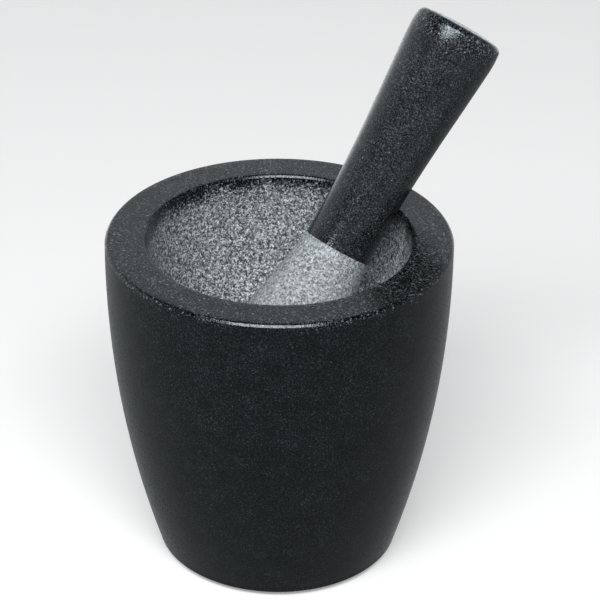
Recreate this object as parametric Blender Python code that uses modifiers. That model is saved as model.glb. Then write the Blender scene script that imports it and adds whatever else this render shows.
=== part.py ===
"""Polished granite mortar and pestle: a turned stone tub on a rubber pad, and a turned pestle.

The pestle leans on the rim, with its head on the floor of the bowl. Metres, +Z up. The origin is on the
mortar's axis at the underside of the pad, the front faces -Y, and +X is to the right.
"""

import math

import bpy
from mathutils import Euler, Vector

# Mortar
RIM_RADIUS = 0.075
STONE_HEIGHT = 0.1491
WALL_UPRIGHT = 0.0066          # below the rim: where the wall is widest
FOOT_RADIUS = 0.0532           # where the wall's curve would meet the underside
FOOT_ROUNDING = 0.0012
RIM_OUTER_ROUNDING = 0.0016
RIM_INNER_ROUNDING = 0.0014
MOUTH_RADIUS = 0.0572
POLISHED_BAND = 0.0070         # smooth ring below the mouth
BAND_TAPER = 0.0006
BOWL_DEPTH = 0.0800

# Pestle, measured from its handle end
PESTLE_LENGTH = 0.1868
HANDLE_DOME = 0.0012           # rise of the handle's end face
HANDLE_EDGE_RADIUS = 0.0200    # at the end face's rounding
HANDLE_ROUNDING = 0.0034
HANDLE_SHOULDER_SLOPE = 0.12   # where the shoulder leaves the rounding
HANDLE_RADIUS = 0.0202         # about the widest
HANDLE_TAPER_START = 0.0120
HANDLE_TAPER_SLOPE = -0.07
WAIST_RADIUS = 0.0152
WAIST_START = 0.0920
WAIST_END = 0.1040
HEAD_RADIUS = 0.0237
HEAD_ROUNDING = 0.0210         # length of the head's rounded end

# Where the pestle rests: its lower end, its lean from upright, and the heading that it leans to
PESTLE_FOOT = Vector((-0.01104, -0.01147, 0.07712))
PESTLE_LEAN = math.radians(36.2)
PESTLE_HEADING = math.radians(35.6)

# Pad
PAD_RADIUS = 0.0420
PAD_THICKNESS = 0.0020
PAD_EDGE = 0.0004
GAP = 0.0003                   # left between pieces that touch

FOOT_Z = PAD_THICKNESS + GAP
RIM_Z = FOOT_Z + STONE_HEIGHT

MORTAR_STEPS = 72
PESTLE_STEPS = 44
PAD_STEPS = 64


def arc(centre, radius, start, end, count):
    """Points (r, z) along an arc, from the start angle to the end angle in degrees."""
    points = []
    for index in range(count + 1):
        angle = math.radians(start + (end - start) * index / count)
        points.append((centre[0] + radius * math.cos(angle), centre[1] + radius * math.sin(angle)))
    return points


def bowl_points(count=14):
    """The bowl from its lowest point to the foot of the polished band: a quarter of an ellipse."""
    width = MOUTH_RADIUS - BAND_TAPER
    depth = BOWL_DEPTH - POLISHED_BAND
    points = []
    for index in range(count + 1):
        angle = 0.5 * math.pi * index / count
        points.append((width * math.sin(angle), RIM_Z - POLISHED_BAND - depth * math.cos(angle)))
    return points


def wall_radius(below):
    """The outer wall's radius at a depth below the rim: one arc that draws in towards the foot."""
    drop = STONE_HEIGHT - WALL_UPRIGHT
    draw_in = RIM_RADIUS - FOOT_RADIUS
    radius = (drop ** 2 + draw_in ** 2) / (2 * draw_in)
    return RIM_RADIUS - radius + math.sqrt(radius ** 2 - (below - WALL_UPRIGHT) ** 2)


def wall_points(count=12):
    """The outer wall's points, between the rim's rounding and the foot's; one is at its widest."""
    bottom = STONE_HEIGHT - FOOT_ROUNDING
    depths = [RIM_OUTER_ROUNDING]
    depths += [WALL_UPRIGHT + (bottom - WALL_UPRIGHT) * index / count for index in range(count + 1)]
    return [(wall_radius(depth), RIM_Z - depth) for depth in depths]


def mortar_profile():
    """The mortar's half section, from the bowl's lowest point over the rim to the underside's centre."""
    inner = RIM_INNER_ROUNDING
    outer = RIM_OUTER_ROUNDING
    wall = wall_points()
    edge_x = wall[0][0] - outer
    foot_x = wall[-1][0] - FOOT_ROUNDING
    profile = bowl_points()
    profile += arc((MOUTH_RADIUS + inner, RIM_Z - inner), inner, 180, 90, 4)
    profile += arc((edge_x, RIM_Z - outer), outer, 90, 12, 4)
    profile += wall
    profile += arc((foot_x, FOOT_Z + FOOT_ROUNDING), FOOT_ROUNDING, -14, -90, 4)
    profile.append((0.0, FOOT_Z))
    return profile


def hermite(start, end, slope_start, slope_end, place):
    """A cubic from start to end, with the given slopes per unit of place (0 to 1)."""
    square = place ** 2
    cube = place ** 3
    value = (2 * cube - 3 * square + 1) * start + (3 * square - 2 * cube) * end
    return value + (cube - 2 * square + place) * slope_start + (cube - square) * slope_end


def pestle_radius(along):
    """The pestle's radius between its rounded ends, at a distance from the handle end."""
    head_start = PESTLE_LENGTH - HEAD_ROUNDING
    if along < HANDLE_TAPER_START:
        shoulder = HANDLE_DOME + HANDLE_ROUNDING
        span = HANDLE_TAPER_START - shoulder
        place = (along - shoulder) / span
        slopes = (HANDLE_SHOULDER_SLOPE * span, HANDLE_TAPER_SLOPE * span)
        return hermite(HANDLE_EDGE_RADIUS, HANDLE_RADIUS, *slopes, place)
    if along < WAIST_START:
        span = WAIST_START - HANDLE_TAPER_START
        place = (along - HANDLE_TAPER_START) / span
        return hermite(HANDLE_RADIUS, WAIST_RADIUS, HANDLE_TAPER_SLOPE * span, 0.0, place)
    if along < WAIST_END:
        return WAIST_RADIUS
    return hermite(WAIST_RADIUS, HEAD_RADIUS, 0.0, 0.0, (along - WAIST_END) / (head_start - WAIST_END))


def pestle_profile(shoulder_count=3, shaft_count=18, round_count=8):
    """The pestle's half section along its own axis, from the top of the handle to the head's lower end."""
    head_start = PESTLE_LENGTH - HEAD_ROUNDING
    shoulder = HANDLE_DOME + HANDLE_ROUNDING
    rounding_centre = (HANDLE_EDGE_RADIUS - HANDLE_ROUNDING, PESTLE_LENGTH - shoulder)
    profile = [(0.0, PESTLE_LENGTH)]
    profile += arc(rounding_centre, HANDLE_ROUNDING, 84, 14, 4)
    for index in range(shoulder_count):
        along = shoulder + (HANDLE_TAPER_START - shoulder) * index / shoulder_count
        profile.append((pestle_radius(along), PESTLE_LENGTH - along))
    for index in range(shaft_count + 1):
        along = HANDLE_TAPER_START + (head_start - HANDLE_TAPER_START) * index / shaft_count
        profile.append((pestle_radius(along), PESTLE_LENGTH - along))
    for index in range(1, round_count + 1):
        angle = 0.5 * math.pi * index / round_count
        radius = HEAD_RADIUS * math.cos(angle) if index < round_count else 0.0
        profile.append((radius, HEAD_ROUNDING * (1 - math.sin(angle))))
    return profile


def pad_profile():
    """The pad's half section, with a small chamfer on both edges."""
    return [
        (0.0, PAD_THICKNESS),
        (PAD_RADIUS - PAD_EDGE, PAD_THICKNESS),
        (PAD_RADIUS, PAD_THICKNESS - PAD_EDGE),
        (PAD_RADIUS, PAD_EDGE),
        (PAD_RADIUS - PAD_EDGE, 0.0),
        (0.0, 0.0),
    ]


def make_material(name, colour, roughness):
    material = bpy.data.materials.new(name)
    material.use_nodes = True
    shader = material.node_tree.nodes["Principled BSDF"]
    shader.inputs["Base Color"].default_value = (*colour, 1.0)
    shader.inputs["Roughness"].default_value = roughness
    shader.inputs["Metallic"].default_value = 0.0
    return material


def make_turned(name, profile, steps, material, collection):
    """A solid turned about Z from a half section whose first and last points are on the axis."""
    mesh = bpy.data.meshes.new(name)
    points = [(radius, 0.0, height) for radius, height in profile]
    edges = [(index, index + 1) for index in range(len(points) - 1)]
    mesh.from_pydata(points, edges, [])
    turned = bpy.data.objects.new(name, mesh)
    collection.objects.link(turned)
    screw = turned.modifiers.new("Turn", "SCREW")
    screw.axis = "Z"
    screw.angle = 2 * math.pi
    screw.steps = steps
    screw.render_steps = steps
    screw.use_merge_vertices = True
    screw.merge_threshold = 0.00001
    screw.use_smooth_shade = True
    mesh.materials.append(material)
    return turned


def lean_rotation():
    """Turns the pestle's +Z towards its heading, down from upright by its lean."""
    return Euler((0.0, PESTLE_LEAN, PESTLE_HEADING), "XYZ")


def clear_scene():
    for item in list(bpy.data.objects):
        bpy.data.objects.remove(item, do_unlink=True)


def main():
    clear_scene()
    parts = bpy.data.collections.new("mortar_and_pestle")
    bpy.context.scene.collection.children.link(parts)

    polished = make_material("polished_granite", (0.020, 0.021, 0.024), 0.12)
    handle = make_material("pestle_granite", (0.045, 0.046, 0.050), 0.16)
    rubber = make_material("pad_rubber", (0.015, 0.015, 0.016), 0.75)

    make_turned("mortar", mortar_profile(), MORTAR_STEPS, polished, parts)
    make_turned("base_pad", pad_profile(), PAD_STEPS, rubber, parts)

    pestle = make_turned("pestle", pestle_profile(), PESTLE_STEPS, handle, parts)
    pestle.location = PESTLE_FOOT
    pestle.rotation_euler = lean_rotation()


main()
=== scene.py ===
"""The looks of a polished granite mortar and pestle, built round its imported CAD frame."""

import math

import bpy
from mathutils import Euler, Matrix, Quaternion, Vector, noise


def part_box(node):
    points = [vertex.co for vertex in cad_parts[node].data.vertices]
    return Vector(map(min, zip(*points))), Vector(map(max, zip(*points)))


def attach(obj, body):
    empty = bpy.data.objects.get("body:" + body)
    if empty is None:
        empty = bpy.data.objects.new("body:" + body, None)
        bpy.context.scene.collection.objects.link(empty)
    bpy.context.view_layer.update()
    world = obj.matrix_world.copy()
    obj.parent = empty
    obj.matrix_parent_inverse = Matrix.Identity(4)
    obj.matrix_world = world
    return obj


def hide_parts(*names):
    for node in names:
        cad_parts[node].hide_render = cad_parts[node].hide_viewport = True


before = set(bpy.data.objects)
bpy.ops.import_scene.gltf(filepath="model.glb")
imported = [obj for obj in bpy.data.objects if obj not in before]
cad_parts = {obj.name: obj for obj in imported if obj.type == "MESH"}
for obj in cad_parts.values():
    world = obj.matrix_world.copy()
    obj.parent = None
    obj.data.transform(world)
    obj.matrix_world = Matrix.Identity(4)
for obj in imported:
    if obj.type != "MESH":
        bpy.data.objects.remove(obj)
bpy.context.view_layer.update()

MM = 0.001

# ---- Sizes in metres, the same as the CAD's. The overall ones come from the frame's boxes ----

MORTAR_LOW, MORTAR_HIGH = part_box("mortar")
PAD_LOW, PAD_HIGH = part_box("base_pad")
RIM_RADIUS = MORTAR_HIGH[0]
RIM_Z = MORTAR_HIGH[2]
FOOT_Z = MORTAR_LOW[2]
WALL_UPRIGHT = 6.6 * MM        # below the rim: where the wall is widest
FOOT_RADIUS = 53.2 * MM        # where the wall's curve would meet the underside
FOOT_ROUNDING = 1.2 * MM
RIM_OUTER_ROUNDING = 1.6 * MM
RIM_INNER_ROUNDING = 1.4 * MM
EDGE_FACET = 40                # degrees above level that the rim's ground facets face
MOUTH_RADIUS = 57.2 * MM
POLISHED_BAND = 7.0 * MM       # smooth ring below the mouth
BAND_TAPER = 0.6 * MM
BOWL_DEPTH = 80.0 * MM

PESTLE_LENGTH = 186.8 * MM     # the sizes below it are measured from the handle's end
HANDLE_DOME = 1.2 * MM         # rise of the handle's end face
HANDLE_EDGE_RADIUS = 20.0 * MM
HANDLE_ROUNDING = 3.4 * MM
HANDLE_SHOULDER_SLOPE = 0.12   # where the shoulder leaves the rounding
HANDLE_RADIUS = 20.2 * MM      # about the widest
HANDLE_TAPER_START = 12.0 * MM
HANDLE_TAPER_SLOPE = -0.07
WAIST_RADIUS = 15.2 * MM
WAIST_START = 92.0 * MM
WAIST_END = 104.0 * MM
HEAD_RADIUS = 23.7 * MM
HEAD_ROUNDING = 21.0 * MM      # length of the head's rounded end
POLISH_END = 111.0 * MM        # where the rough head starts
POLISH_EDGE = 0.1 * MM         # half the width of the line between polished and rough
PESTLE_FOOT = Vector((-11.04, -11.47, 77.12)) * MM
PESTLE_LEAN = math.radians(36.2)
PESTLE_HEADING = math.radians(35.6)

PAD_EDGE = 0.4 * MM

# ---- Mesh density. Inside the radii named THINS, the rings have fewer points ----

MORTAR_AROUND = 512            # points in the bowl's and the rim's rings; the outside has half as many
BOWL_SPACING = 0.68 * MM
BOWL_THINS = 0.58 * MOUTH_RADIUS
UNDERSIDE_THINS = 0.5 * FOOT_RADIUS
PESTLE_AROUND = 256            # points in the head's rings; the handle has half as many
HEAD_SPACING = 0.5 * MM
HEAD_THINS = 0.55 * HEAD_RADIUS
HANDLE_FACE_THINS = 0.5 * HANDLE_RADIUS
PAD_AROUND = 128
PAD_THINS = 0.3 * PAD_HIGH[0]

# ---- Surface relief. Waves are (height, length) pairs, and a fade is where it starts and ends ----

PECK_SIZE = 2.1 * MM           # spacing of the chisel's pecks
PECK_REACH = 0.75              # a peck's radius, as a part of that spacing
PECK_DEPTH = 0.22 * MM
HEAD_PECKING = 0.7             # the head's pecks are shallower than the bowl's
GRAIN_SIZE = 0.75 * MM
GRAIN_DEPTH = 0.10 * MM
PECKED_BAND = 10.0 * MM        # below the rim, the depth over which the polish gives way to pecks
BAND_WAVES = ((3.0 * MM, 14 * MM), (1.5 * MM, 4 * MM))
POLISH_WAVES = ((0.012 * MM, 9 * MM), (0.004 * MM, 3 * MM))
WEAR = 0.15                    # polish lost along the edges, from 0 to 1
PATCHY_WEAR = 0.07             # and the more that is lost in patches
RIM_WEAR_PATCH = 7 * MM
RIM_WEAR_FADE = (1.0 * MM, 3.0 * MM)       # below the rim
HANDLE_WEAR_PATCH = 8 * MM
HANDLE_WEAR_START = (1.5 * MM, 3 * MM)     # from the handle's end
HANDLE_WEAR_FADE = (5 * MM, 15 * MM)


# ---- Outlines: lists of (radius, height) ----


def arc(centre, radius, start, end, count):
    """Points along an arc, from the start angle to the end angle in degrees."""
    points = []
    for index in range(count + 1):
        angle = math.radians(start + (end - start) * index / count)
        points.append((centre[0] + radius * math.cos(angle), centre[1] + radius * math.sin(angle)))
    return points


def between(first, second, part):
    """The point that lies the given part of the way from first to second."""
    return (first[0] + (second[0] - first[0]) * part, first[1] + (second[1] - first[1]) * part)


def line(start, end, count):
    """Points after start, up to and including end."""
    return [between(start, end, index / count) for index in range(1, count + 1)]


def ground_edge(size):
    """An edge ground by hand: a facet between two small roundings.

    It runs from the flat top, at (-size, 0), down to the upright side at radius 0.
    """
    upper = 0.7 * size
    lower = 0.3 * size
    facet = math.radians(EDGE_FACET)
    top = arc((-size, -upper), upper, 90, EDGE_FACET, 5)
    reach = -lower * (1 - math.cos(facet))
    drop = (reach - top[-1][0]) / math.tan(facet)
    foot = (reach, top[-1][1] - drop)
    centre = (-lower, foot[1] - lower * math.sin(facet))
    return top + line(top[-1], foot, 5) + arc(centre, lower, EDGE_FACET, 6, 4)[1:]


def hermite(start, end, slope_start, slope_end, place):
    """A cubic from start to end, with the given slopes per unit of place (0 to 1)."""
    square = place ** 2
    cube = place ** 3
    value = (2 * cube - 3 * square + 1) * start + (3 * square - 2 * cube) * end
    return value + (cube - 2 * square + place) * slope_start + (cube - square) * slope_end


def even_spacing(outline, spacing):
    """The same outline with points at about an even spacing along it."""
    lengths = [0.0]
    for first, second in zip(outline, outline[1:]):
        lengths.append(lengths[-1] + math.dist(first, second))
    count = max(1, round(lengths[-1] / spacing))
    points = []
    segment = 0
    for index in range(count + 1):
        target = lengths[-1] * index / count
        while segment < len(outline) - 2 and lengths[segment + 1] < target:
            segment += 1
        span = lengths[segment + 1] - lengths[segment]
        part = (target - lengths[segment]) / span
        first, second = outline[segment], outline[segment + 1]
        points.append(between(first, second, part))
    return points


def bowl_outline(spacing):
    """The bowl, from its lowest point to the mouth's rounding: a quarter of an ellipse, and a band."""
    width = MOUTH_RADIUS - BAND_TAPER
    depth = BOWL_DEPTH - POLISHED_BAND
    count = 240
    curve = []
    for index in range(count + 1):
        angle = 0.5 * math.pi * index / count
        curve.append((width * math.sin(angle), RIM_Z - POLISHED_BAND - depth * math.cos(angle)))
    curve.append((MOUTH_RADIUS, RIM_Z - RIM_INNER_ROUNDING))
    return even_spacing(curve, spacing)


def wall_radius(below):
    """The outer wall's radius at a depth below the rim: one arc that is upright just under the rim."""
    drop = RIM_Z - FOOT_Z - WALL_UPRIGHT
    draw_in = RIM_RADIUS - FOOT_RADIUS
    radius = (drop ** 2 + draw_in ** 2) / (2 * draw_in)
    return RIM_RADIUS - radius + math.sqrt(radius ** 2 - (below - WALL_UPRIGHT) ** 2)


def wall_outline(count):
    """The outer wall, from the rim's rounding down to the foot's."""
    top = RIM_OUTER_ROUNDING
    bottom = RIM_Z - FOOT_Z - FOOT_ROUNDING
    points = []
    for index in range(count + 1):
        below = top + (bottom - top) * index / count
        points.append((wall_radius(below), RIM_Z - below))
    return points


def pestle_radius(along):
    """The pestle's radius between its rounded ends, at a distance from the handle's end."""
    head_start = PESTLE_LENGTH - HEAD_ROUNDING
    if along < HANDLE_TAPER_START:
        shoulder = HANDLE_DOME + HANDLE_ROUNDING
        span = HANDLE_TAPER_START - shoulder
        place = (along - shoulder) / span
        slopes = (HANDLE_SHOULDER_SLOPE * span, HANDLE_TAPER_SLOPE * span)
        return hermite(HANDLE_EDGE_RADIUS, HANDLE_RADIUS, *slopes, place)
    if along < WAIST_START:
        span = WAIST_START - HANDLE_TAPER_START
        place = (along - HANDLE_TAPER_START) / span
        return hermite(HANDLE_RADIUS, WAIST_RADIUS, HANDLE_TAPER_SLOPE * span, 0.0, place)
    if along < WAIST_END:
        return WAIST_RADIUS
    return hermite(WAIST_RADIUS, HEAD_RADIUS, 0.0, 0.0, (along - WAIST_END) / (head_start - WAIST_END))


# ---- Turned meshes ----


def bridge(faces, first, second):
    """Faces between two rings of vertex numbers; a ring may have as many, half as many or 1."""
    big, small = len(first), len(second)
    if big == small:
        for index in range(big):
            after = (index + 1) % big
            faces.append((first[index], first[after], second[after], second[index]))
    elif small == 1:
        for index in range(big):
            faces.append((first[index], first[(index + 1) % big], second[0]))
    elif big == 1:
        for index in range(small):
            faces.append((first[0], second[(index + 1) % small], second[index]))
    elif big == 2 * small:
        for index in range(small):
            low, mid, high = first[2 * index], first[2 * index + 1], first[(2 * index + 2) % big]
            here, after = second[index], second[(index + 1) % small]
            faces.append((low, mid, here))
            faces.append((mid, high, after))
            faces.append((mid, after, here))
    else:
        for index in range(big):
            low, mid, high = second[2 * index], second[2 * index + 1], second[(2 * index + 2) % small]
            here, after = first[index], first[(index + 1) % big]
            faces.append((here, mid, low))
            faces.append((after, high, mid))
            faces.append((here, after, mid))


def outline_normals(outline):
    """The outward direction at each point of an outline that runs with the solid on its right."""
    normals = []
    for index in range(len(outline)):
        before = outline[max(0, index - 1)]
        after = outline[min(len(outline) - 1, index + 1)]
        along = Vector((after[0] - before[0], after[1] - before[1])).normalized()
        normals.append(Vector((-along.y, along.x)))
    return normals


def turned(name, outline, counts, relief):
    """A closed solid turned about Z from an outline that starts and ends on the axis.

    counts gives each ring's number of points. relief(point) gives (push outwards, roughness 0 to 1) for a
    point of the smooth surface. The roughness is kept in the mesh as the attribute "rough".
    """
    normals = outline_normals(outline)
    vertices = []
    roughness = []
    rings = []
    for (radius, height), normal, count in zip(outline, normals, counts):
        ring = []
        for index in range(count):
            angle = 2 * math.pi * index / count
            spoke = Vector((math.cos(angle), math.sin(angle), 0.0))
            point = spoke * radius + Vector((0.0, 0.0, height))
            outward = spoke * normal.x + Vector((0.0, 0.0, normal.y))
            if count == 1:
                outward = Vector((0.0, 0.0, 1.0 if normal.y > 0 else -1.0))
            push, rough = relief(point)
            ring.append(len(vertices))
            vertices.append(point + outward * push)
            roughness.append(rough)
        rings.append(ring)
    faces = []
    for first, second in zip(rings, rings[1:]):
        bridge(faces, second, first)
    mesh = bpy.data.meshes.new(name)
    mesh.from_pydata(vertices, [], faces)
    mesh.shade_smooth()
    layer = mesh.attributes.new("rough", "FLOAT", "POINT")
    layer.data.foreach_set("value", roughness)
    mesh.update()
    piece = bpy.data.objects.new(name, mesh)
    bpy.context.scene.collection.objects.link(piece)
    return piece


def step(low, high, value):
    """A smooth step from 0 at low to 1 at high."""
    part = min(1.0, max(0.0, (value - low) / (high - low)))
    return part * part * (3 - 2 * part)


def pecking(point):
    """How far the chisel's pecks and the stone's grain push the surface, mostly inwards."""
    nearest = noise.voronoi(point / PECK_SIZE)[0][0]
    pit = 1.0 - step(0.0, PECK_REACH, nearest)
    grain = noise.noise(point / GRAIN_SIZE) + 0.6 * noise.noise(point / (0.5 * GRAIN_SIZE))
    return -PECK_DEPTH * pit + GRAIN_DEPTH * grain


def ripple(point, waves):
    """A smooth random height at a point, made of waves of different lengths."""
    return sum(height * noise.noise(point / length) for height, length in waves)


def wear(point, patch):
    """How much of the polish is lost, with patches of about the given size that have lost more."""
    return WEAR + PATCHY_WEAR * step(-0.3, 0.4, noise.noise(point / patch))


def mortar_relief(point):
    """The push and the roughness of the mortar: polish outside, worn at the rim, and pecks in the bowl."""
    radius = math.hypot(point.x, point.y)
    below = RIM_Z - point.z
    inside = radius < MOUTH_RADIUS + 0.1 * MM and below < BOWL_DEPTH + 1.0 * MM
    if not inside or below < 0.5 * RIM_INNER_ROUNDING:
        worn = 1 - step(*RIM_WEAR_FADE, below)
        return ripple(point, POLISH_WAVES), worn * wear(point, RIM_WEAR_PATCH)
    rough = min(1.0, max(0.1, (below + ripple(point, BAND_WAVES)) / PECKED_BAND))
    return ripple(point, POLISH_WAVES) * (1 - rough) + pecking(point) * rough, rough


def pestle_relief(point):
    """The push and the roughness of the pestle: polish that is worn near its end, and a pecked head."""
    along = PESTLE_LENGTH - point.z
    rough = step(POLISH_END - POLISH_EDGE, POLISH_END + POLISH_EDGE, along)
    near_end = step(*HANDLE_WEAR_START, along) * (1 - step(*HANDLE_WEAR_FADE, along))
    worn = near_end * wear(point, HANDLE_WEAR_PATCH)
    push = ripple(point, POLISH_WAVES) * (1 - rough) + HEAD_PECKING * pecking(point) * rough
    return push, max(rough, worn)


def ring_counts(outline, full, thins):
    """Ring sizes: full, then halved again and again inside the radius thins, and 1 on the axis."""
    counts = []
    for radius, _ in outline:
        count = full
        limit = thins
        while radius < limit and count % 2 == 0 and count > 12:
            count //= 2
            limit /= 2
        counts.append(1 if radius < 0.01 * MM else count)
    return counts


def make_mortar():
    inner = ground_edge(RIM_INNER_ROUNDING)
    outer = ground_edge(RIM_OUTER_ROUNDING)
    side = wall_radius(RIM_OUTER_ROUNDING)
    rim = [(MOUTH_RADIUS - radius, RIM_Z + height) for radius, height in reversed(inner)]
    edge = [(side + radius, RIM_Z + height) for radius, height in outer]
    bowl = [point for point in bowl_outline(BOWL_SPACING) if point[1] < rim[0][1]]
    wall = [point for point in wall_outline(48) if point[1] < edge[-1][1]]
    rim += line(rim[-1], edge[0], 8) + edge[1:]
    foot_x = wall[-1][0] - FOOT_ROUNDING
    foot = arc((foot_x, FOOT_Z + FOOT_ROUNDING), FOOT_ROUNDING, -15, -90, 6)
    under = line(foot[-1], (0.0, FOOT_Z), 8)

    counts = ring_counts(bowl, MORTAR_AROUND, BOWL_THINS)
    counts += [MORTAR_AROUND] * len(rim)
    counts += [MORTAR_AROUND // 2] * len(wall + foot)
    counts += ring_counts(under, MORTAR_AROUND // 4, UNDERSIDE_THINS)
    return turned("granite_mortar", bowl + rim + wall + foot + under, counts, mortar_relief)


def handle_face():
    """The handle's end face, from its centre to its rounding: nearly flat, and falling faster outwards."""
    count = 9
    radius = HANDLE_EDGE_RADIUS - HANDLE_ROUNDING
    face = []
    for index in range(count + 1):
        part = index / count
        face.append((radius * part, PESTLE_LENGTH - HANDLE_DOME * part ** 3))
    return face


def handle_side():
    """The handle from its end's rounding to the line where the polish ends."""
    count = 64
    shoulder = HANDLE_DOME + HANDLE_ROUNDING
    side = []
    for index in range(count + 1):
        along = shoulder + (POLISH_END - POLISH_EDGE - shoulder) * index / count
        side.append((pestle_radius(along), PESTLE_LENGTH - along))
    return side


def head_outline():
    """The rough head, from the line where the polish ends to its lowest point."""
    head_start = PESTLE_LENGTH - HEAD_ROUNDING
    flare_count = 120
    round_count = 80
    head = []
    for index in range(flare_count + 1):
        along = POLISH_END + POLISH_EDGE + (head_start - POLISH_END) * index / flare_count
        head.append((pestle_radius(min(along, head_start)), PESTLE_LENGTH - along))
    for index in range(1, round_count):
        angle = 0.5 * math.pi * index / round_count
        head.append((HEAD_RADIUS * math.cos(angle), HEAD_ROUNDING * (1 - math.sin(angle))))
    head.append((0.0, 0.0))
    return even_spacing(head, HEAD_SPACING)


def make_pestle():
    face = handle_face()
    corner_z = PESTLE_LENGTH - (HANDLE_DOME + HANDLE_ROUNDING)
    corner = arc((face[-1][0], corner_z), HANDLE_ROUNDING, 82, 12, 8)
    side = handle_side()
    head = head_outline()

    counts = ring_counts(face, PESTLE_AROUND // 2, HANDLE_FACE_THINS)
    counts += [PESTLE_AROUND // 2] * len(corner + side)
    counts += ring_counts(head, PESTLE_AROUND, HEAD_THINS)
    piece = turned("granite_pestle", face + corner + side + head, counts, pestle_relief)
    lean = Euler((0.0, PESTLE_LEAN, PESTLE_HEADING), "XYZ").to_matrix().to_4x4()
    piece.data.transform(Matrix.Translation(PESTLE_FOOT) @ lean)
    return piece


def make_pad():
    radius = PAD_HIGH[0]
    top, bottom = PAD_HIGH[2], PAD_LOW[2]
    outline = [(0.0, top)]
    outline += line((0.0, top), (radius - PAD_EDGE, top), 6)
    outline += arc((radius - PAD_EDGE, top - PAD_EDGE), PAD_EDGE, 67, 0, 4)
    outline += arc((radius - PAD_EDGE, bottom + PAD_EDGE), PAD_EDGE, 0, -90, 5)
    outline += line((radius - PAD_EDGE, bottom), (0.0, bottom), 6)
    counts = ring_counts(outline, PAD_AROUND, PAD_THINS)
    return turned("rubber_pad", outline, counts, lambda point: (0.0, 0.0))


# ---- Materials ----

POLISHED_TINT = (0.88, 1.0, 1.08)
PECKED_TINT = (0.93, 1.0, 1.05)
SHEEN_TINT = (0.86, 0.95, 1.0, 1.0)
STONE_IOR = 1.45
CRYSTAL = 0.7 * MM
GRAIN = 1.15 * MM
FINE_GRAIN = 0.6 * MM
CLOUD = 9 * MM                 # broad lighter and darker areas
FIRST_WORN = 0.15              # the attribute "rough" below which no crystal is pecked
PECKED_ROUGHNESS = 0.85
WORN_ROUGHNESS = 0.4
FACET_BUMP = 0.07              # bump heights in millimetres, of the polished stone
GRIT_BUMP = 0.35               # and of the pecked stone


class Nodes:
    """Short calls for building a node tree, with its patterns laid out by one coordinate."""

    def __init__(self, tree, coordinate):
        self.tree = tree
        self.place = self.add("ShaderNodeTexCoord").outputs[coordinate]

    def add(self, kind, **settings):
        node = self.tree.nodes.new(kind)
        for key, value in settings.items():
            setattr(node, key, value)
        return node

    def feed(self, socket, source):
        """Links a socket to another, or sets it to a value."""
        if hasattr(source, "is_linked"):
            self.tree.links.new(source, socket)
        else:
            socket.default_value = source

    def math(self, operation, first, second):
        node = self.add("ShaderNodeMath", operation=operation)
        self.feed(node.inputs[0], first)
        self.feed(node.inputs[1], second)
        return node.outputs[0]

    def noise(self, size, detail=2.0, roughness=0.5, distortion=0.0):
        node = self.add("ShaderNodeTexNoise")
        self.feed(node.inputs["Vector"], self.place)
        node.inputs["Scale"].default_value = 1.0 / size
        node.inputs["Detail"].default_value = detail
        node.inputs["Roughness"].default_value = roughness
        node.inputs["Distortion"].default_value = distortion
        return node.outputs["Fac"]

    def crystals(self, size):
        """Two random values from 0 to 1 for each crystal of about that size."""
        node = self.add("ShaderNodeTexVoronoi")
        self.feed(node.inputs["Vector"], self.place)
        node.inputs["Scale"].default_value = 1.0 / size
        split = self.add("ShaderNodeSeparateColor")
        self.feed(split.inputs[0], node.outputs["Color"])
        return split.outputs[0], split.outputs[1]

    def ramp(self, factor, stops):
        """A colour from a factor; stops holds (position, grey or (r, g, b))."""
        node = self.add("ShaderNodeValToRGB")
        elements = node.color_ramp.elements
        while len(elements) < len(stops):
            elements.new(0.5)
        for element, (position, colour) in zip(elements, stops):
            element.position = position
            rgb = colour if isinstance(colour, tuple) else (colour,) * 3
            element.color = (*rgb, 1.0)
        self.feed(node.inputs[0], factor)
        return node.outputs[0]

    def mix(self, factor, first, second, blend="MIX"):
        """A colour between first and second, or the second blended onto the first."""
        node = self.add("ShaderNodeMix", data_type="RGBA", blend_type=blend)
        self.feed(node.inputs["Factor"], factor)
        self.feed(node.inputs[6], first)
        self.feed(node.inputs[7], second)
        return node.outputs[2]

    def stretch(self, value, low, high, to_low=0.0, to_high=1.0):
        """The value's range from low to high, stretched to another and held within it."""
        node = self.add("ShaderNodeMapRange")
        for socket, number in zip(node.inputs[1:5], (low, high, to_low, to_high)):
            socket.default_value = number
        self.feed(node.inputs[0], value)
        return node.outputs[0]

    def blend(self, factor, first, second):
        """A number between first and second."""
        node = self.add("ShaderNodeMix", data_type="FLOAT")
        self.feed(node.inputs["Factor"], factor)
        self.feed(node.inputs[2], first)
        self.feed(node.inputs[3], second)
        return node.outputs[0]

    def along(self, direction):
        """How far the coordinate lies along a direction."""
        node = self.add("ShaderNodeVectorMath", operation="DOT_PRODUCT")
        node.inputs[1].default_value = direction
        self.feed(node.inputs[0], self.place)
        return node.outputs["Value"]

    def bump(self, height, distance):
        node = self.add("ShaderNodeBump")
        node.inputs["Distance"].default_value = distance
        self.feed(node.inputs["Height"], height)
        return node.outputs[0]


def new_material(name):
    """A material, its node builder and its shader's inputs."""
    material = bpy.data.materials.new(name)
    material.use_nodes = True
    tree = material.node_tree
    return material, Nodes(tree, "Object"), tree.nodes["Principled BSDF"].inputs


def greys(tint, stops):
    """Colour ramp stops (position, grey), in a tint."""
    return [(position, tuple(grey * part for part in tint)) for position, grey in stops]


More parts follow.
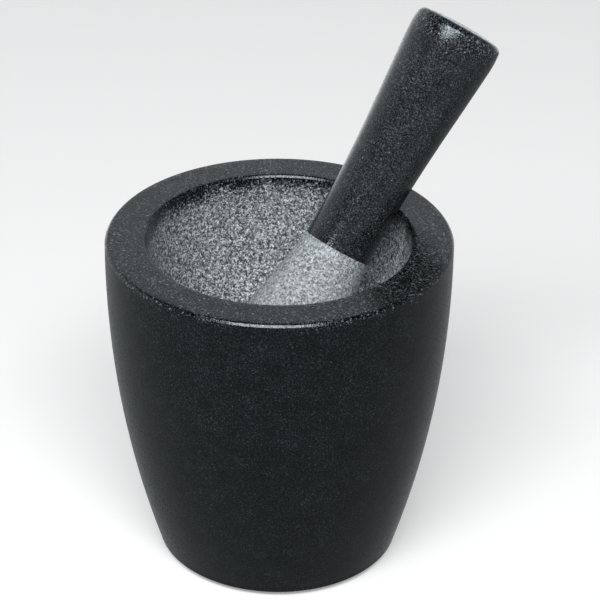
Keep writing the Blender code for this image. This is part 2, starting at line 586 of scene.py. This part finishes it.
def polished_colour(nodes, attribute, crystal, fine, flecks, polished):
    """Near black, with a few pale crystals and faint clouds; it is more mottled where it is worn."""
    pale = nodes.math("ADD", crystal, nodes.math("MULTIPLY", attribute, 0.45))
    fleck = nodes.stretch(pale, 1.0 - flecks, 1.06, 0.0, 0.4)
    cloud = nodes.stretch(nodes.noise(CLOUD, 2.0), 0.3, 0.7, -0.03, 0.03)
    worn = nodes.math("MULTIPLY", attribute, 5.0)
    mottle = nodes.math("MULTIPLY", nodes.math("SUBTRACT", fine, 0.53), worn)
    level = nodes.math("ADD", nodes.math("ADD", fine, fleck), nodes.math("ADD", cloud, mottle))
    return nodes.ramp(level, greys(POLISHED_TINT, polished))


def pecked_colour(nodes, attribute, crystal, grain, pecked):
    """Pale crushed crystals between dark ones; it is darker where the pecks are shallow."""
    level = nodes.math("ADD", nodes.math("MULTIPLY", grain, 1.8), nodes.math("MULTIPLY", crystal, 0.3))
    colour = nodes.ramp(nodes.stretch(level, 0.55, 1.55), greys(PECKED_TINT, pecked))
    return nodes.mix(1.0, colour, nodes.stretch(attribute, 0.0, 0.9, 0.3, 1.0), "MULTIPLY")


def granite(name, polished, flecks, pecked):
    """Dark fine-grained granite: polished where the attribute "rough" is 0, pecked where it is 1.

    polished and pecked are ramps of grey, and flecks is the share of pale crystals in the polished stone.
    Where the attribute is in between, more and more of the crystals are pecked, and deeper.
    """
    material, nodes, shader = new_material(name)
    attribute = nodes.add("ShaderNodeAttribute", attribute_name="rough").outputs["Fac"]
    crystal, chance = nodes.crystals(CRYSTAL)
    reach = nodes.stretch(attribute, FIRST_WORN, 1.0, 0.0, 1.2)
    rough = nodes.stretch(nodes.math("SUBTRACT", reach, chance), 0.0, 0.2)
    grain = nodes.noise(GRAIN, 3.0, 0.65, 1.2)
    fine = nodes.noise(FINE_GRAIN, 2.0, 0.6)

    smooth_colour = polished_colour(nodes, attribute, crystal, fine, flecks, polished)
    rough_colour = pecked_colour(nodes, attribute, crystal, grain, pecked)
    nodes.feed(shader["Base Color"], nodes.mix(rough, smooth_colour, rough_colour))

    dull = nodes.stretch(chance, 0.6, 1.0, 0.0, 0.3)
    gloss = nodes.math("ADD", nodes.stretch(fine, 0.3, 0.7, 0.07, 0.17), dull)
    gloss = nodes.blend(nodes.stretch(attribute, 0.2, 0.6), gloss, WORN_ROUGHNESS)
    nodes.feed(shader["Roughness"], nodes.blend(rough, gloss, PECKED_ROUGHNESS))
    shader["IOR"].default_value = STONE_IOR
    shader["Specular Tint"].default_value = SHEEN_TINT

    facets = nodes.math("MULTIPLY", nodes.noise(0.7 * MM, 2.0), FACET_BUMP)
    grit = nodes.math("MULTIPLY", nodes.noise(0.6 * MM, 3.0, 0.6), GRIT_BUMP)
    nodes.feed(shader["Normal"], nodes.bump(nodes.blend(rough, facets, grit), MM))
    return material


def mortar_granite():
    return granite(
        "mortar_granite",
        polished=[(0.3, 0.0), (0.44, 0.001), (0.55, 0.009), (0.65, 0.028), (0.9, 0.16)],
        flecks=0.015,
        pecked=[(0.15, 0.025), (0.38, 0.09), (0.5, 0.24), (0.64, 0.47), (0.82, 0.85)],
    )


def pestle_granite():
    return granite(
        "pestle_granite",
        polished=[(0.3, 0.0), (0.44, 0.006), (0.55, 0.026), (0.65, 0.065), (0.9, 0.22)],
        flecks=0.05,
        pecked=[(0.2, 0.11), (0.4, 0.25), (0.55, 0.43), (0.8, 0.72)],
    )


def pad_rubber():
    material, nodes, shader = new_material("pad_rubber")
    nodes.feed(shader["Base Color"], nodes.ramp(nodes.noise(3 * MM, 4.0), [(0.3, 0.012), (0.7, 0.022)]))
    nodes.feed(shader["Roughness"], nodes.stretch(nodes.noise(0.8 * MM), 0.3, 0.7, 0.65, 0.85))
    nodes.feed(shader["Normal"], nodes.bump(nodes.noise(0.5 * MM, 3.0), 0.1 * MM))
    return material


# ---- Studio ----

FLOOR_GREY = 0.80
FLOOR_GLOW = 0.3

# The room is painted on the world by direction, where a height is the sine of the elevation
ROOM_TINT = (0.95, 1.0, 1.03)
WALL_HEIGHTS = (-0.15, 0.05)
WALL_GREYS = (1.35, 0.82)
CEILING_HEIGHTS = (0.5, 0.64)
CEILING = 0.07                 # as a part of the wall's brightness
BRIGHT_END = (-0.5, 0.86, 0.0)
DIM_END = 0.38                 # the brightness of the room away from its bright end
GROUND_HEIGHTS = (-0.42, -0.36)
GROUND_RIGHT = 0.27
GROUND_LEFT = 0.31

SOFTBOX_PLACE = (-0.13, -1.08, 1.45)
SOFTBOX_TARGET = (0.0, 0.0, 0.15)
SOFTBOX_WIDTH = 1.4
SOFTBOX_HEIGHT = 0.55
SOFTBOX_POWER = 34.0


def make_floor():
    """A pale floor that the stone neither reflects nor is lit by."""
    bpy.ops.mesh.primitive_plane_add(size=8.0, location=(0.0, 0.0, 0.0))
    floor = bpy.context.object
    floor.name = "studio_floor"
    floor.visible_glossy = False
    floor.visible_diffuse = False
    material, _, shader = new_material("studio_floor")
    shader["Base Color"].default_value = (FLOOR_GREY, FLOOR_GREY, FLOOR_GREY, 1.0)
    shader["Emission Color"].default_value = (1.0, 1.0, 1.0, 1.0)
    shader["Emission Strength"].default_value = FLOOR_GLOW
    shader["Roughness"].default_value = 0.9
    floor.data.materials.append(material)


def make_world():
    """A pale room, brightest behind and to the left, under a dark ceiling and over a dim ground."""
    world = bpy.data.worlds.new("studio")
    bpy.context.scene.world = world
    world.use_nodes = True
    nodes = Nodes(world.node_tree, "Generated")
    height = nodes.along((0.0, 0.0, 1.0))
    ceiling = nodes.ramp(height, [(CEILING_HEIGHTS[0], 1.0), (CEILING_HEIGHTS[1], CEILING)])
    wall = nodes.mix(1.0, nodes.stretch(height, *WALL_HEIGHTS, *WALL_GREYS), ceiling, "MULTIPLY")
    side = nodes.stretch(nodes.along(BRIGHT_END), 0.0, 0.8, DIM_END, 1.0)
    room = nodes.mix(1.0, wall, side, "MULTIPLY")
    ground = nodes.stretch(nodes.along((-1.0, 0.0, 0.0)), -0.6, 0.6, GROUND_RIGHT, GROUND_LEFT)
    above_ground = nodes.stretch(height, *GROUND_HEIGHTS)
    light = nodes.mix(above_ground, ground, room)
    tinted = nodes.mix(1.0, light, (*ROOM_TINT, 1.0), "MULTIPLY")
    nodes.feed(world.node_tree.nodes["Background"].inputs["Color"], tinted)


def make_softbox():
    data = bpy.data.lights.new("softbox", "AREA")
    data.shape = "RECTANGLE"
    data.size = SOFTBOX_WIDTH
    data.size_y = SOFTBOX_HEIGHT
    data.energy = SOFTBOX_POWER
    light = bpy.data.objects.new("softbox", data)
    light.location = SOFTBOX_PLACE
    direction = Vector(SOFTBOX_TARGET) - Vector(SOFTBOX_PLACE)
    light.rotation_euler = direction.to_track_quat("-Z", "Y").to_euler()
    bpy.context.scene.collection.objects.link(light)


CAMERA_DISTANCE = 1.2          # from the rim's centre
CAMERA_ELEVATION = math.radians(28.76)
CAMERA_ROLL = math.radians(0.62)
CAMERA_LENS = 167.7            # in millimetres, on a sensor 36 mm wide
AIM_RIGHT = 9.0 * MM           # the aim, from the rim's centre
AIM_DOWN = 27.0 * MM


def make_camera():
    """The camera, in front and above, aimed a little below and to the right of the rim's centre."""
    back = Vector((0.0, -math.cos(CAMERA_ELEVATION), math.sin(CAMERA_ELEVATION)))
    up = Vector((0.0, math.sin(CAMERA_ELEVATION), math.cos(CAMERA_ELEVATION)))
    rim_centre = Vector((0.0, 0.0, RIM_Z))
    aim = rim_centre + Vector((AIM_RIGHT, 0.0, 0.0)) - up * AIM_DOWN
    data = bpy.data.cameras.new("camera")
    data.lens = CAMERA_LENS
    data.sensor_width = 36.0
    camera = bpy.data.objects.new("camera", data)
    camera.location = rim_centre + back * CAMERA_DISTANCE
    turn = (aim - camera.location).to_track_quat("-Z", "Y") @ Quaternion((0.0, 0.0, 1.0), CAMERA_ROLL)
    camera.rotation_mode = "QUATERNION"
    camera.rotation_quaternion = turn
    bpy.context.scene.collection.objects.link(camera)
    bpy.context.scene.camera = camera


def main():
    bpy.context.scene.view_settings.view_transform = "Standard"
    make_floor()
    make_world()
    make_softbox()
    make_camera()

    mortar = make_mortar()
    mortar.data.materials.append(mortar_granite())
    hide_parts("mortar")
    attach(mortar, "mortar")

    pestle = make_pestle()
    pestle.data.materials.append(pestle_granite())
    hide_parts("pestle")
    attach(pestle, "pestle")

    pad = make_pad()
    pad.data.materials.append(pad_rubber())
    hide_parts("base_pad")
    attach(pad, "mortar")


main()
